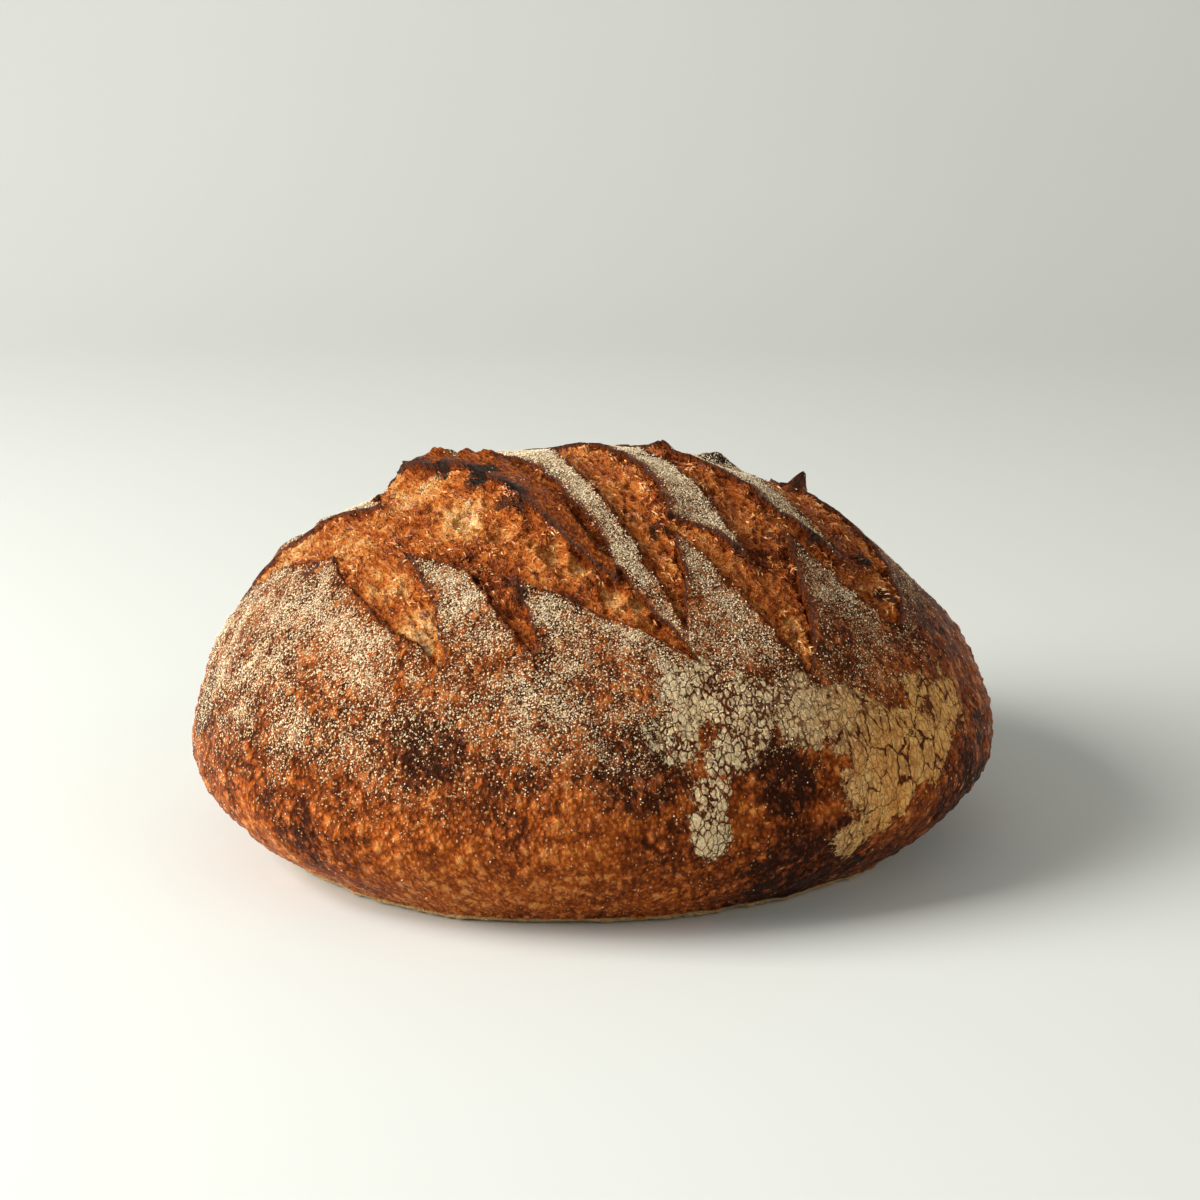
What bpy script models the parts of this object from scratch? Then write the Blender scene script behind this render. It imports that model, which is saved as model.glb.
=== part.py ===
"""A round sourdough loaf, 25 cm across, baked on a flat stone.

The loaf is one solid. Its skin starts as a dome on a flat base, turned a little about the vertical. A blade
has cut the top in long slashes, crossed by short ones. Each slash opened in the oven into a pointed lens of
torn crumb, and the crust on its far side rose into a lip, called an ear, that leans over the crumb.
+X runs along the loaf's length and +Z up. The origin is under the middle of the loaf, on its flat base.
"""

import math
from collections import namedtuple

import bmesh
import bpy
import numpy as np
from mathutils import Vector, noise

MM = 0.001
SMALL = 1e-9

# The dome, before slashing
HALF_LENGTH = 125.0 * MM
HALF_DEPTH = 108.0 * MM
DOME_TOP = 118.0 * MM
BELLY_HEIGHT = 31.5 * MM  # where the loaf is widest
UNDER_REACH = 56.5 * MM  # how far below the belly the underside would reach without the flat base
TURN = math.radians(12.0)  # of the long axis, seen from above
PLAN_POWER = 2.15  # 2 is an ellipse, more is squarer
LEFT_SHOULDER_POWER = 1.96
RIGHT_SHOULDER_POWER = 1.74
UNDER_POWER = 1.75

# Unevenness of the proved dough
SWELL = 1.4 * MM
SWELL_SPACING = 46.0 * MM
DIMPLE = 0.45 * MM
DIMPLE_SPACING = 9.0 * MM

# The crumb that shows in the slashes
CRUST_STEP = 1.8 * MM  # from the crust down to the crumb, at the near lip of a slash
CRUMB_HOLLOW = 1.6 * MM  # how far the crumb sags in the middle of a slash
CRUMB_CRAG = 0.9 * MM  # height of the torn crumb's crags
CRAG_SPACING = 5.0 * MM
CRUMB_CLIMB = 0.8  # how much of the ear's rise the crumb follows
CLIMB_POWER = 1.3  # more keeps the crumb low until it nears the ear
UNDERCUT = 2.4 * MM  # how much lower the crumb is just under an ear
UNDERCUT_START = 0.45  # as a share of the half width, from the middle of a slash
FULL_EAR = 4.0 * MM  # an ear that rises less than this has less of an undercut

# The lips of the slashes
POINTED = 1.5  # more draws a slash's ends out finer
LIP_SOFTNESS = 2.4 * MM  # width of the step from crust to crumb
LIP_WANDER = 1.5 * MM  # how far a torn lip strays from the blade's line
WANDER_SPACING = 9.0 * MM
WANDER_AT_ENDS = 3.0  # more lets the lips stray closer to a slash's ends
EAR_LEAN = 0.25  # how far an ear leans over the crumb, as a share of its rise
LEAN_FADE = 4.0 * MM
NARROWEST = 1.0 * MM  # the half width below which a slash counts as a cut
SLASH_LIMIT = 12.0 * MM  # the slashes fade out over this height above the belly

# start and end in plan, bow is how far the middle lies to the left of the straight line from start to end,
# widest is where along it the slash is widest, rise is how far its ear stands up, and fade is how wide the
# raised crust behind the ear is
Slash = namedtuple("Slash", "start end bow half_width widest rise fade")
SLASHES = (
    # the front opening, in two strokes, and the crease in its ear
    Slash((-113, 15), (30, -83), -8.5, 12.0, 0.40, 2.0, 9),
    Slash((-66, 27), (5, -69), -13.0, 12.0, 0.42, 6.0, 14),
    Slash((-32, 12), (14, -74), -2.5, 3.2, 0.30, 1.6, 5),
    # the long strokes behind it
    Slash((-13, 23), (26, -76), 2.5, 9.8, 0.42, 3.0, 8),
    Slash((8, 30), (61, -75), 6.5, 9.0, 0.55, 3.0, 8),
    Slash((52, 34), (90, -41), 0.0, 12.0, 0.50, 3.0, 8),
    # the short strokes across, from left to right
    Slash((-77, -20), (-41, -87), -2.0, 8.0, 0.45, 2.0, 7),
    Slash((-43, -46), (-16, -89), 2.0, 4.5, 0.50, 1.5, 6),
    Slash((14, -38), (60, -73), 4.0, 6.0, 0.50, 2.0, 7),
    Slash((45, -19), (92, -40), -2.0, 6.0, 0.45, 2.0, 7),
    # the far side of the loaf
    Slash((-84, 58), (12, 22), 3.0, 8.5, 0.45, 3.0, 9),
    Slash((-48, 84), (62, 40), 4.0, 9.0, 0.50, 3.0, 9),
    Slash((-60, 78), (-34, 28), 0.0, 5.5, 0.50, 2.0, 7),
    Slash((-8, 78), (22, 24), 0.0, 6.0, 0.50, 2.0, 7),
    Slash((34, 70), (60, 26), 0.0, 5.0, 0.50, 2.0, 7),
)

# Burnt crags on the ears' corners and flakes of crust that stand up: place in plan, radius and height
Crag = namedtuple("Crag", "place radius height")
CRAGS = (
    Crag((-96, 17), 6.0, 2.2),
    Crag((-85, 23), 5.0, 2.0),
    Crag((-58, 18), 6.5, 2.5),
    Crag((-46, 14), 6.5, 4.0),
    Crag((-37, -2), 5.5, 3.5),
    Crag((-31, -8), 4.5, 3.0),
    Crag((-3, 30), 2.6, 3.0),
    Crag((20, 18), 4.5, 3.0),
    Crag((38, 22), 5.5, 3.0),
    Crag((64, 27), 2.4, 5.0),
)
CRAG_ROUGHNESS = 0.5
CRAG_GRAIN = 3.5 * MM

BALL_LEVEL = 8
TRIANGLES = 11400

CRUST_BROWN = (0.40, 0.16, 0.05, 1.0)
CRUST_ROUGHNESS = 0.55


def wander(points, spacing, seed, octaves=2):
    """Smooth noise of about -1 to 1, with lumps about that far apart."""
    places = points / spacing + seed * math.tau
    return np.array([noise.fractal(Vector(p), 0.9, 2.0, octaves) for p in places])


def ramp(value, low, high):
    """0 below low and 1 above high, with a smooth rise between."""
    share = np.clip((value - low) / (high - low), 0, 1)
    return share * share * (3 - 2 * share)


def plan_radius(heading):
    """How far the widest level reaches in each heading, which is a unit pair."""
    c, s = math.cos(TURN), math.sin(TURN)
    along = np.abs(heading[:, 0] * c + heading[:, 1] * s) / HALF_LENGTH
    across = np.abs(heading[:, 1] * c - heading[:, 0] * s) / HALF_DEPTH
    return (along**PLAN_POWER + across**PLAN_POWER) ** (-1 / PLAN_POWER)


def dome(way):
    """Points of the unslashed dome in directions from the middle of its widest level, and the normals there."""
    level = np.hypot(way[:, 0], way[:, 1])
    heading = way[:, :2] / np.maximum(level, SMALL)[:, None]
    heading[level <= SMALL] = (1, 0)  # straight up and straight down, any heading will do
    radius = plan_radius(heading)
    rise = np.abs(way[:, 2])
    upper = way[:, 2] >= 0
    right = (heading[:, 0] * level + 1) / 2
    shoulder = LEFT_SHOULDER_POWER + (RIGHT_SHOULDER_POWER - LEFT_SHOULDER_POWER) * right
    power = np.where(upper, shoulder, UNDER_POWER)
    height = np.where(upper, DOME_TOP - BELLY_HEIGHT, UNDER_REACH)
    reach = ((level / radius) ** power + (rise / height) ** power) ** (-1 / power)
    out, up = level * reach, rise * reach
    side = np.sign(way[:, 2])
    points = np.column_stack([heading * out[:, None], BELLY_HEIGHT + side * up])
    slope_out = out ** (power - 1) / radius**power
    slope_up = up ** (power - 1) / height**power * side
    normals = np.column_stack([heading * slope_out[:, None], slope_up])
    return points, normals / np.linalg.norm(normals, axis=1)[:, None]


def proved(points, normals):
    """Points after the dough's own unevenness."""
    swell = SWELL * wander(points, SWELL_SPACING, 3)
    dimple = DIMPLE * wander(points, DIMPLE_SPACING, 4)
    return points + normals * (swell + dimple)[:, None]


def across_slash(plan, slash):
    """Where points lie about a slash: the distance across it, its half width there, and its swelling, 0 to 1."""
    start, end = np.array(slash.start) * MM, np.array(slash.end) * MM
    length = np.linalg.norm(end - start)
    along = (end - start) / length
    left = np.array([-along[1], along[0]])
    t = (plan - start) @ along / length
    inside = np.clip(t, 0, 1)
    offset = (plan - start) @ left - slash.bow * MM * 4 * inside * (1 - inside)
    peak = slash.widest
    swelling = ((inside / peak) ** peak * ((1 - inside) / (1 - peak)) ** (1 - peak)) ** POINTED
    beyond = np.abs(t - inside) * length
    return offset, slash.half_width * MM * swelling - beyond, swelling, left


def slashed(points, normals):
    """Points of the dome after the slashes open it."""
    plan = points[:, :2]
    count = len(plan)
    on_top = ramp(points[:, 2], BELLY_HEIGHT, BELLY_HEIGHT + SLASH_LIMIT)
    stray = LIP_WANDER * wander(points, WANDER_SPACING, 1, 3)
    opening = np.full(count, -1.0)
    ear, floor, weight = np.zeros(count), np.zeros(count), np.full(count, SMALL)
    lean = np.zeros((count, 2))
    for slash in SLASHES:
        offset, half, swelling, left = across_slash(plan, slash)
        inward = half - np.abs(offset) + stray * np.minimum(1, swelling * WANDER_AT_ENDS)
        opening = np.maximum(opening, inward)
        far_side = ramp(offset, -NARROWEST, NARROWEST)
        share = np.clip(offset / np.maximum(half, NARROWEST), -1, 1)
        rise = slash.rise * MM * np.sqrt(swelling)
        away = np.maximum(-inward, 0)
        ear = np.maximum(ear, rise * np.exp(-away / (slash.fade * MM)) * far_side)
        lean -= left * (EAR_LEAN * rise * np.exp(-away / LEAN_FADE) * far_side)[:, None]
        climb = CRUMB_CLIMB * rise * (0.5 + 0.5 * share) ** CLIMB_POWER
        under = UNDERCUT * ramp(share, UNDERCUT_START, 1) * min(1, slash.rise * MM / FULL_EAR)
        hollow = CRUMB_HOLLOW * (1 - share**2) * swelling
        mine = np.maximum(inward, 0) ** 2
        floor += mine * (climb - under - hollow - CRUST_STEP)
        weight += mine
    floor = floor / weight + CRUMB_CRAG * wander(points, CRAG_SPACING, 2, 3)
    torn = ramp(opening, -LIP_SOFTNESS / 3, LIP_SOFTNESS * 2 / 3)
    height = (ear * (1 - torn) + floor * torn + crag_height(plan, points)) * on_top
    moved = points + normals * height[:, None]
    moved[:, :2] += lean * ((1 - torn) * on_top)[:, None]
    return moved


def crag_height(plan, points):
    """How high the burnt crags stand."""
    rough = 1 + CRAG_ROUGHNESS * wander(points, CRAG_GRAIN, 5)
    height = np.zeros(len(plan))
    for crag in CRAGS:
        near = np.linalg.norm(plan - np.array(crag.place) * MM, axis=1) / (crag.radius * MM)
        height += crag.height * MM * np.exp(-(near**2)) * rough
    return height


def skin(way):
    """The finished skin in directions from the middle of the widest level."""
    points, normals = dome(way)
    points = slashed(proved(points, normals), normals)
    points[:, 2] = np.maximum(points[:, 2], 0)
    middle = (points.min(axis=0) + points.max(axis=0)) / 2
    points[:, :2] -= middle[:2]
    return points


def crust_material():
    material = bpy.data.materials.new("crust")
    material.use_nodes = True
    finish = material.node_tree.nodes["Principled BSDF"]
    finish.inputs["Base Color"].default_value = CRUST_BROWN
    finish.inputs["Roughness"].default_value = CRUST_ROUGHNESS
    finish.inputs["Metallic"].default_value = 0.0
    material.diffuse_color = CRUST_BROWN
    return material


def make_loaf(collection):
    """A fine ball shaped into the loaf, with its triangles gathered where the skin bends most."""
    ball = bmesh.new()
    bmesh.ops.create_icosphere(ball, subdivisions=BALL_LEVEL, radius=1.0)
    way = np.array([vert.co for vert in ball.verts])
    for vert, place in zip(ball.verts, skin(way)):
        vert.co = place
    share = TRIANGLES / len(ball.faces)
    mesh = bpy.data.meshes.new("loaf")
    ball.to_mesh(mesh)
    ball.free()
    mesh.shade_smooth()
    mesh.materials.append(crust_material())
    loaf = bpy.data.objects.new("loaf", mesh)
    collection.objects.link(loaf)
    fewer = loaf.modifiers.new("fewer triangles", "DECIMATE")
    fewer.ratio = share


def main():
    for old in list(bpy.data.objects):
        bpy.data.objects.remove(old)
    collection = bpy.data.collections.new("sourdough_loaf")
    bpy.context.scene.collection.children.link(collection)
    make_loaf(collection)


main()
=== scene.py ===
"""The looks of a round sourdough loaf: blistered crust, torn crumb in the slashes, flour and burnt lips.

The loaf's shape comes from the same dome and slashes as its solid. It is dressed here with a crust that has
a real thickness, a crumb that shows in the slashes, shreds of torn crumb and loose grains of flour.
"""

import math
from collections import namedtuple

import bmesh
import bpy
import numpy as np
from mathutils import Matrix, Vector, noise


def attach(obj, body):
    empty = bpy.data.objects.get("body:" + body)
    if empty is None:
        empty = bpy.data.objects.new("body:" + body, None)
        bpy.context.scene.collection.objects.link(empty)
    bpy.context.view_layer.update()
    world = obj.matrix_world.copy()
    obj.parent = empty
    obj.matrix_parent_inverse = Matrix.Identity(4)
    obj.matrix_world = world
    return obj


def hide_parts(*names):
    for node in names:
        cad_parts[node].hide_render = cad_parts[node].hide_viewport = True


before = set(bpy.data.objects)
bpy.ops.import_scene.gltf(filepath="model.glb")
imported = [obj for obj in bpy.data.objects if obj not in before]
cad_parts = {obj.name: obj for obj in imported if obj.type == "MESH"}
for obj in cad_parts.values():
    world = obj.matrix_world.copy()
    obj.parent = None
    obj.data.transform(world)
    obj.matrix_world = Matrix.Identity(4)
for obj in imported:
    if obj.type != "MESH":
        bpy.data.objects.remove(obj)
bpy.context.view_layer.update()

MM = 0.001
SMALL = 1e-9

# The photograph's view: a camera 18.5 degrees above the level, aimed a little above the loaf's middle
PHOTO_SIDE = 1200
FOCAL_PIXELS = 2571
SENSOR = 36.0
CAMERA_RISE = math.radians(18.5)
CAMERA_REACH = 0.812
LOAF_MIDDLE = Vector((0, 0, 0.0406))
LOAF_PIXEL = (594, 695)

# The floor and the lamps over it, in metres
FLOOR_REACH = 3.0
FLOOR_FORWARD = 1.4
WALL_HEIGHT = 3.0
SWEEP_ROUND = 0.8
LAMP_AIM = Vector((0, 0, 0.06))
Lamp = namedtuple("Lamp", "name place size power colour")
LAMPS = (
    Lamp("window", (-1.3, -0.35, 0.85), (0.85, 1.0), 48, (1.0, 0.98, 0.95)),
    Lamp("fill", (1.3, -0.9, 0.9), (1.2, 1.2), 5, (1.0, 0.97, 0.93)),
)
ROOM_COLOUR = (1.0, 0.99, 0.96)
ROOM_STRENGTH = 0.36

# The dome, before slashing
HALF_LENGTH = 125.0 * MM
HALF_DEPTH = 108.0 * MM
DOME_TOP = 118.0 * MM
BELLY_HEIGHT = 31.5 * MM
UNDER_REACH = 56.5 * MM
TURN = math.radians(12.0)
PLAN_POWER = 2.15
LEFT_SHOULDER_POWER = 1.96
RIGHT_SHOULDER_POWER = 1.74
UNDER_POWER = 1.75

# Unevenness of the proved dough
SWELL = 1.4 * MM
SWELL_SPACING = 46.0 * MM
DIMPLE = 0.45 * MM
DIMPLE_SPACING = 9.0 * MM

# The crumb that shows in the slashes
CRUST_STEP = 0.9 * MM
CRUMB_HOLLOW = 1.5 * MM
CRUMB_CRAG = 0.9 * MM
CRAG_SPACING = 5.0 * MM
CRUMB_CLIMB = 0.92
CLIMB_POWER = 1.2
UNDERCUT = 1.0 * MM
UNDERCUT_START = 0.45
FULL_EAR = 4.0 * MM

# The lips of the slashes
POINTED = 1.5
LIP_WANDER = 1.5 * MM
WANDER_SPACING = 9.0 * MM
WANDER_AT_ENDS = 3.0
LIP_RAGGED = 0.45 * MM
RAGGED_SPACING = 2.2 * MM
EAR_LEAN = 0.30
LEAN_FADE = 4.0 * MM
LIP_BAND = 0.42 * MM
NEAR_LIP_BAND = 0.8 * MM
BARELY_OPEN = 0.02
BARE_FROM = 2.5
BARE_LIP = 2.9
STRIP_START = 0.15
STRIP_FALL = (15 * MM, 12 * MM)
NARROWEST = 1.0 * MM
SLASH_LIMIT = 12.0 * MM

# start, end, bow, half_width, widest, rise and fade of the ear, as the solid has them
Slash = namedtuple("Slash", "start end bow half_width widest rise fade")
SLASHES = (
    # the front opening, in two strokes, and the crease in its ear
    Slash((-113, 15), (30, -83), -8.5, 12.0, 0.40, 2.0, 9),
    Slash((-66, 27), (5, -69), -13.0, 12.0, 0.42, 6.0, 14),
    Slash((-32, 12), (14, -74), -2.5, 3.2, 0.30, 1.6, 5),
    # the long strokes behind it
    Slash((-13, 23), (26, -76), 2.5, 9.8, 0.42, 3.0, 8),
    Slash((8, 30), (61, -75), 6.5, 9.0, 0.55, 3.0, 8),
    Slash((52, 34), (90, -41), 0.0, 12.0, 0.50, 3.0, 8),
    # the short strokes across, from left to right
    Slash((-77, -20), (-41, -87), -2.0, 8.0, 0.45, 2.0, 7),
    Slash((-43, -46), (-16, -89), 2.0, 4.5, 0.50, 1.5, 6),
    Slash((14, -38), (60, -73), 4.0, 6.0, 0.50, 2.0, 7),
    Slash((45, -19), (92, -40), -2.0, 6.0, 0.45, 2.0, 7),
    # the far side of the loaf
    Slash((-84, 58), (12, 22), 3.0, 8.5, 0.45, 3.0, 9),
    Slash((-48, 84), (62, 40), 4.0, 9.0, 0.50, 3.0, 9),
    Slash((-60, 78), (-34, 28), 0.0, 5.5, 0.50, 2.0, 7),
    Slash((-8, 78), (22, 24), 0.0, 6.0, 0.50, 2.0, 7),
    Slash((34, 70), (60, 26), 0.0, 5.0, 0.50, 2.0, 7),
)

# The tall ear and the crease in it, by their places in that list
TALL_EAR = 1
CREASE = 2

# Burnt crags and flakes that stand up: place in plan, radius and height
Crag = namedtuple("Crag", "place radius height")
CRAGS = (
    Crag((-96, 17), 6.0, 2.2),
    Crag((-85, 23), 5.0, 2.0),
    Crag((-58, 18), 6.5, 2.5),
    Crag((-46, 14), 6.5, 4.0),
    Crag((-37, -2), 5.5, 3.5),
    Crag((-31, -8), 4.5, 3.0),
    Crag((-3, 30), 2.6, 3.0),
    Crag((20, 18), 4.5, 3.0),
    Crag((38, 22), 5.5, 3.0),
    Crag((64, 27), 2.4, 5.0),
)
CRAG_ROUGHNESS = 0.5
CRAG_GRAIN = 3.5 * MM

# Patches: the middle, radius and strength. Flour lies thick on the crust, cakes and cracks, and heat
# scorches and chars it. The crumb is browned in some and pale in others.
Patch = namedtuple("Patch", "place radius strength")
FLOUR_PATCHES = (
    Patch((-86, -50, 82), 17, 0.55),
    Patch((-74, -68, 77), 16, 0.45),
    Patch((-38, -76, 86), 17, 0.55),
    Patch((-1, -85, 82), 18, 0.50),
    Patch((-37, -91, 72), 14, 0.40),
    Patch((5, -93, 73), 22, 0.45),
    Patch((38, -74, 82), 18, 0.34),
    Patch((69, -55, 84), 16, 0.22),
)
CAKED_PATCHES = (
    Patch((29, -88, 73), 11, 0.75),
    Patch((42, -89, 66), 13, 0.85),
    Patch((58, -83, 63), 13, 0.85),
    Patch((24, -97, 61), 9, 0.60),
    Patch((37, -95, 54), 9, 0.65),
    Patch((34, -100, 44), 7, 0.80),
    Patch((33, -102, 34), 8, 0.85),
    Patch((73, -77, 58), 12, 0.9),
    Patch((81, -76, 48), 15, 1.0),
    Patch((95, -62, 47), 15, 1.0),
    Patch((82, -79, 36), 13, 0.95),
    Patch((75, -83, 25), 9, 0.75),
    Patch((104, -46, 52), 11, 0.75),
    Patch((96, -56, 60), 9, 0.55),
    Patch((-60, 80, 70), 15, 0.9),
    Patch((30, 92, 62), 16, 0.9),
    Patch((86, 62, 48), 14, 0.8),
)
SCORCHED_PATCHES = (
    Patch((54, -93, 44), 10, 0.75),
    Patch((49, -92, 52), 7, 0.7),
    Patch((12, -103, 53), 16, 0.85),
    Patch((-86, -84, 30), 13, 0.55),
    Patch((-118, -30, 48), 12, 0.8),
    Patch((-116, -46, 30), 8, 0.45),
    Patch((-46, -97, 58), 12, 0.6),
    Patch((60, -80, 16), 26, 0.8),
    Patch((100, -30, 24), 26, 0.6),
    Patch((-30, 104, 44), 16, 0.8),
    Patch((100, 40, 40), 18, 0.7),
    Patch((-104, 50, 40), 16, 0.7),
)
CHARRED_PATCHES = (
    Patch((-46, -2, 114), 6.5, 0.95),
    Patch((-33, -20, 114), 6.0, 1.0),
    Patch((-24, -36, 110), 6.5, 0.75),
    Patch((-90, 18, 88), 4.0, 0.55),
    Patch((-60, 20, 108), 3.5, 0.7),
    Patch((-55, -49, 98), 3.5, 0.55),
    Patch((-21, -70, 93), 4.0, 0.6),
    Patch((18, -43, 105), 4.5, 0.85),
    Patch((51, -34, 100), 4.0, 0.6),
    Patch((41, -47, 100), 2.5, 0.5),
    Patch((66, -25, 98), 3.0, 0.6),
    Patch((64, 28, 105), 6.0, 1.0),
    Patch((17, 5, 118), 5.0, 0.9),
    Patch((38, 18, 114), 7.0, 0.85),
    Patch((-3, 30, 118), 3.5, 1.0),
    Patch((81, -16, 89), 3.5, 0.9),
    Patch((87, -30, 81), 3.5, 0.9),
    Patch((-20, 62, 100), 5.0, 0.5),
    Patch((30, 58, 100), 5.0, 0.45),
)
BROWNED_PATCHES = (
    Patch((-40, -52, 99), 10, 0.9),
    Patch((-27, -60, 96), 9, 0.9),
    Patch((-58, -40, 100), 6, 0.6),
    Patch((-10, -72, 92), 8, 0.6),
    Patch((52, -44, 96), 10, 0.7),
    Patch((74, -20, 92), 14, 0.7),
    Patch((28, -20, 110), 12, 0.6),
    Patch((20, 12, 116), 12, 0.8),
    Patch((46, 10, 110), 14, 0.8),
)
PALE_PATCHES = (
    Patch((-53, -10, 107), 14, 1.0),
    Patch((-62, 22, 104), 10, 0.9),
    Patch((-39, -38, 104), 11, 0.9),
    Patch((-76, -32, 92), 11, 0.7),
    Patch((-50, -75, 85), 9, 1.0),
    Patch((-97, 2, 82), 18, 1.0),
    Patch((-62, -55, 92), 8, 0.6),
    Patch((-20, 70, 98), 14, 0.7),
)

# Burst bubbles in the torn crumb: place in plan and radius, then how many more are strewn
Pore = namedtuple("Pore", "place radius")
PORES = (
    Pore((-49, -27), 5.0),
    Pore((-27, -47), 5.5),
    Pore((-12, -58), 5.0),
    Pore((-4, -62), 3.5),
    Pore((5, -69), 4.8),
    Pore((-67, -13), 4.0),
    Pore((13, -72), 3.6),
    Pore((-62, 8), 3.5),
    Pore((-80, -12), 3.0),
    Pore((-38, -38), 4.0),
    Pore((-55, -60), 3.0),
)
MORE_PORES = 90
PORE_SIZES = (1.2, 3.6)
PORE_DEPTH = 0.55
PORE_RIM = 0.20

# How finely the crust and crumb are divided, and the most triangles that each keeps
CRUST_LEVEL = 8
CRUMB_LEVEL = 7
CRUMB_CUTS = 3
PIECE_TRIANGLES = 196000

# The crust as it is dressed
POCKET = 4.5 * MM
SNAP = 0.52 * MM
SNAP_STEP = 0.0015
LEAST_SLOPE = 20 * MM
SUNK_RISE = (0.3 * MM, 3.0 * MM)
LIP_ROUND = 0.32 * MM
BLISTER = 0.8 * MM
BLISTER_SPACING = 4.3 * MM
PEBBLE = 0.24 * MM
PEBBLE_SPACING = 2.5 * MM
CAKE_THICKNESS = 0.35 * MM
NEAR_LIP_RISE = 0.5 * MM
RIM_HEIGHT = 1.2 * MM
RIM_SPREAD = 1.6 * MM
RIM_LIMIT = 8 * MM
RIM_FLARE = 1.3 * MM

# Heights on the loaf between which the crust changes
SMOOTH_RISE = (58 * MM, 84 * MM)
DUST_RISE = (28 * MM, 90 * MM)
ISLAND_RISE = (86 * MM, 98 * MM)
CAP_RISE = (108 * MM, 116 * MM)
# Painted warm bounce light lifts the crust's tone low down: full below the second height, gone above the
# first
BOUNCE_LIGHT_FALL = (52 * MM, 16 * MM)

# Places in plan between which it changes: right is along X, and forward is towards the camera
# Painted warm bounce light: full left of the second place, gone right of the first
BOUNCE_LIGHT_LEFTWARD = (50 * MM, 0)
UNFLOURED_RIGHTWARD = (92 * MM, 108 * MM)
UNFLOURED_FORWARD = (-20 * MM, 10 * MM)
TAN_RIGHTWARD = (40 * MM, 88 * MM)

# The heading that the tear's fibres follow, and how far directions are drawn out for the crust's patterns
FIBRE_HEADING = math.radians(-55)
GROWN_REACH = 112.0 * MM

# The crumb's relief
STRAND = 1.5 * MM
STRAND_SPACING = 3.0 * MM
THREAD = 0.7 * MM
THREAD_SPACING = 1.2 * MM
FLAKE = 1.1 * MM
FLAKE_SPACING = 5.5 * MM
HOLE = 1.1 * MM
HOLE_SPACING = 3.2 * MM
LUMP = 0.9 * MM
LUMP_SPACING = 7.0 * MM
FULL_CREST = 2.6 * MM
HIDDEN_DEPTH = 1.9 * MM
CRUMB_BASE = 1.5 * MM
FINE_MARGIN = 2.5 * MM
RELIEF_MARGIN = 3 * MM
TORN_RISE = (-1.0 * MM, 0.8 * MM)
EDGE_FALL = (3.0 * MM, 0)

# Loose grains and shreds: how many, their sizes and how far they stand off or tip
GRAINS = 24000
GRAIN_SIZES = (0.13, 0.34)
GRAIN_LIFT = 0.1 * MM
GRAIN_TIP = 0.25
SHREDS = 7000
SHRED_SIZES = (0.4, 1.3)
SHRED_TIP = 0.5

Skin = namedtuple("Skin", "points normals opening ear lean floor lip near_lip bare along on_top")


def wander(points, spacing, seed, octaves=2):
    """Smooth noise of about -1 to 1, with lumps about that far apart."""
    places = points / spacing + seed * math.tau
    return np.array([noise.fractal(Vector(p), 0.9, 2.0, octaves) for p in places])


def ridges(points, spacing, seed, octaves=3):
    """Sharp-crested noise of about 0 to 1."""
    places = points / spacing + seed * math.tau
    return 1 - np.array([noise.turbulence(Vector(p), octaves, True) for p in places])


def pillows(points, spacing, seed):
    """Bubbles packed side by side: 0 in the grooves between them and up to 1 on their tops."""
    places = points / spacing + seed * math.tau
    nearest = np.array([noise.voronoi(Vector(p))[0][:2] for p in places])
    return ramp(nearest[:, 1] - nearest[:, 0], 0, 0.55) * ramp(nearest[:, 0], 0.75, 0.1)


def ramp(value, low, high):
    """0 at low and 1 at high, with a smooth rise between."""
    share = np.clip((value - low) / (high - low), 0, 1)
    return share * share * (3 - 2 * share)


def plan_radius(heading):
    """How far the widest level reaches in each heading, which is a unit pair."""
    c, s = math.cos(TURN), math.sin(TURN)
    along = np.abs(heading[:, 0] * c + heading[:, 1] * s) / HALF_LENGTH
    across = np.abs(heading[:, 1] * c - heading[:, 0] * s) / HALF_DEPTH
    return (along**PLAN_POWER + across**PLAN_POWER) ** (-1 / PLAN_POWER)


def dome(way):
    """Points of the unslashed dome in directions from the middle of its widest level, and its normals."""
    level = np.hypot(way[:, 0], way[:, 1])
    heading = way[:, :2] / np.maximum(level, SMALL)[:, None]
    heading[level <= SMALL] = (1, 0)
    radius = plan_radius(heading)
    rise = np.abs(way[:, 2])
    upper = way[:, 2] >= 0
    right = (heading[:, 0] * level + 1) / 2
    shoulder = LEFT_SHOULDER_POWER + (RIGHT_SHOULDER_POWER - LEFT_SHOULDER_POWER) * right
    power = np.where(upper, shoulder, UNDER_POWER)
    height = np.where(upper, DOME_TOP - BELLY_HEIGHT, UNDER_REACH)
    reach = ((level / radius) ** power + (rise / height) ** power) ** (-1 / power)
    out, up = level * reach, rise * reach
    side = np.sign(way[:, 2])
    points = np.column_stack([heading * out[:, None], BELLY_HEIGHT + side * up])
    slope_out = out ** (power - 1) / radius**power
    slope_up = up ** (power - 1) / height**power * side
    normals = np.column_stack([heading * slope_out[:, None], slope_up])
    return points, normals / np.linalg.norm(normals, axis=1)[:, None]


def proved(way):
    """Points after the dough's own unevenness, and the dome's normals."""
    points, normals = dome(way)
    swell = SWELL * wander(points, SWELL_SPACING, 3)
    dimple = DIMPLE * wander(points, DIMPLE_SPACING, 4)
    return points + normals * (swell + dimple)[:, None], normals


def across_slash(plan, slash):
    """Where points lie about a slash: the distance across, its half width, swelling and directions."""
    start, end = np.array(slash.start) * MM, np.array(slash.end) * MM
    length = np.linalg.norm(end - start)
    along = (end - start) / length
    left = np.array([-along[1], along[0]])
    t = (plan - start) @ along / length
    inside = np.clip(t, 0, 1)
    offset = (plan - start) @ left - slash.bow * MM * 4 * inside * (1 - inside)
    peak = slash.widest
    swelling = ((inside / peak) ** peak * ((1 - inside) / (1 - peak)) ** (1 - peak)) ** POINTED
    beyond = np.abs(t - inside) * length
    return offset, slash.half_width * MM * swelling - beyond, swelling, left, along


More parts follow.
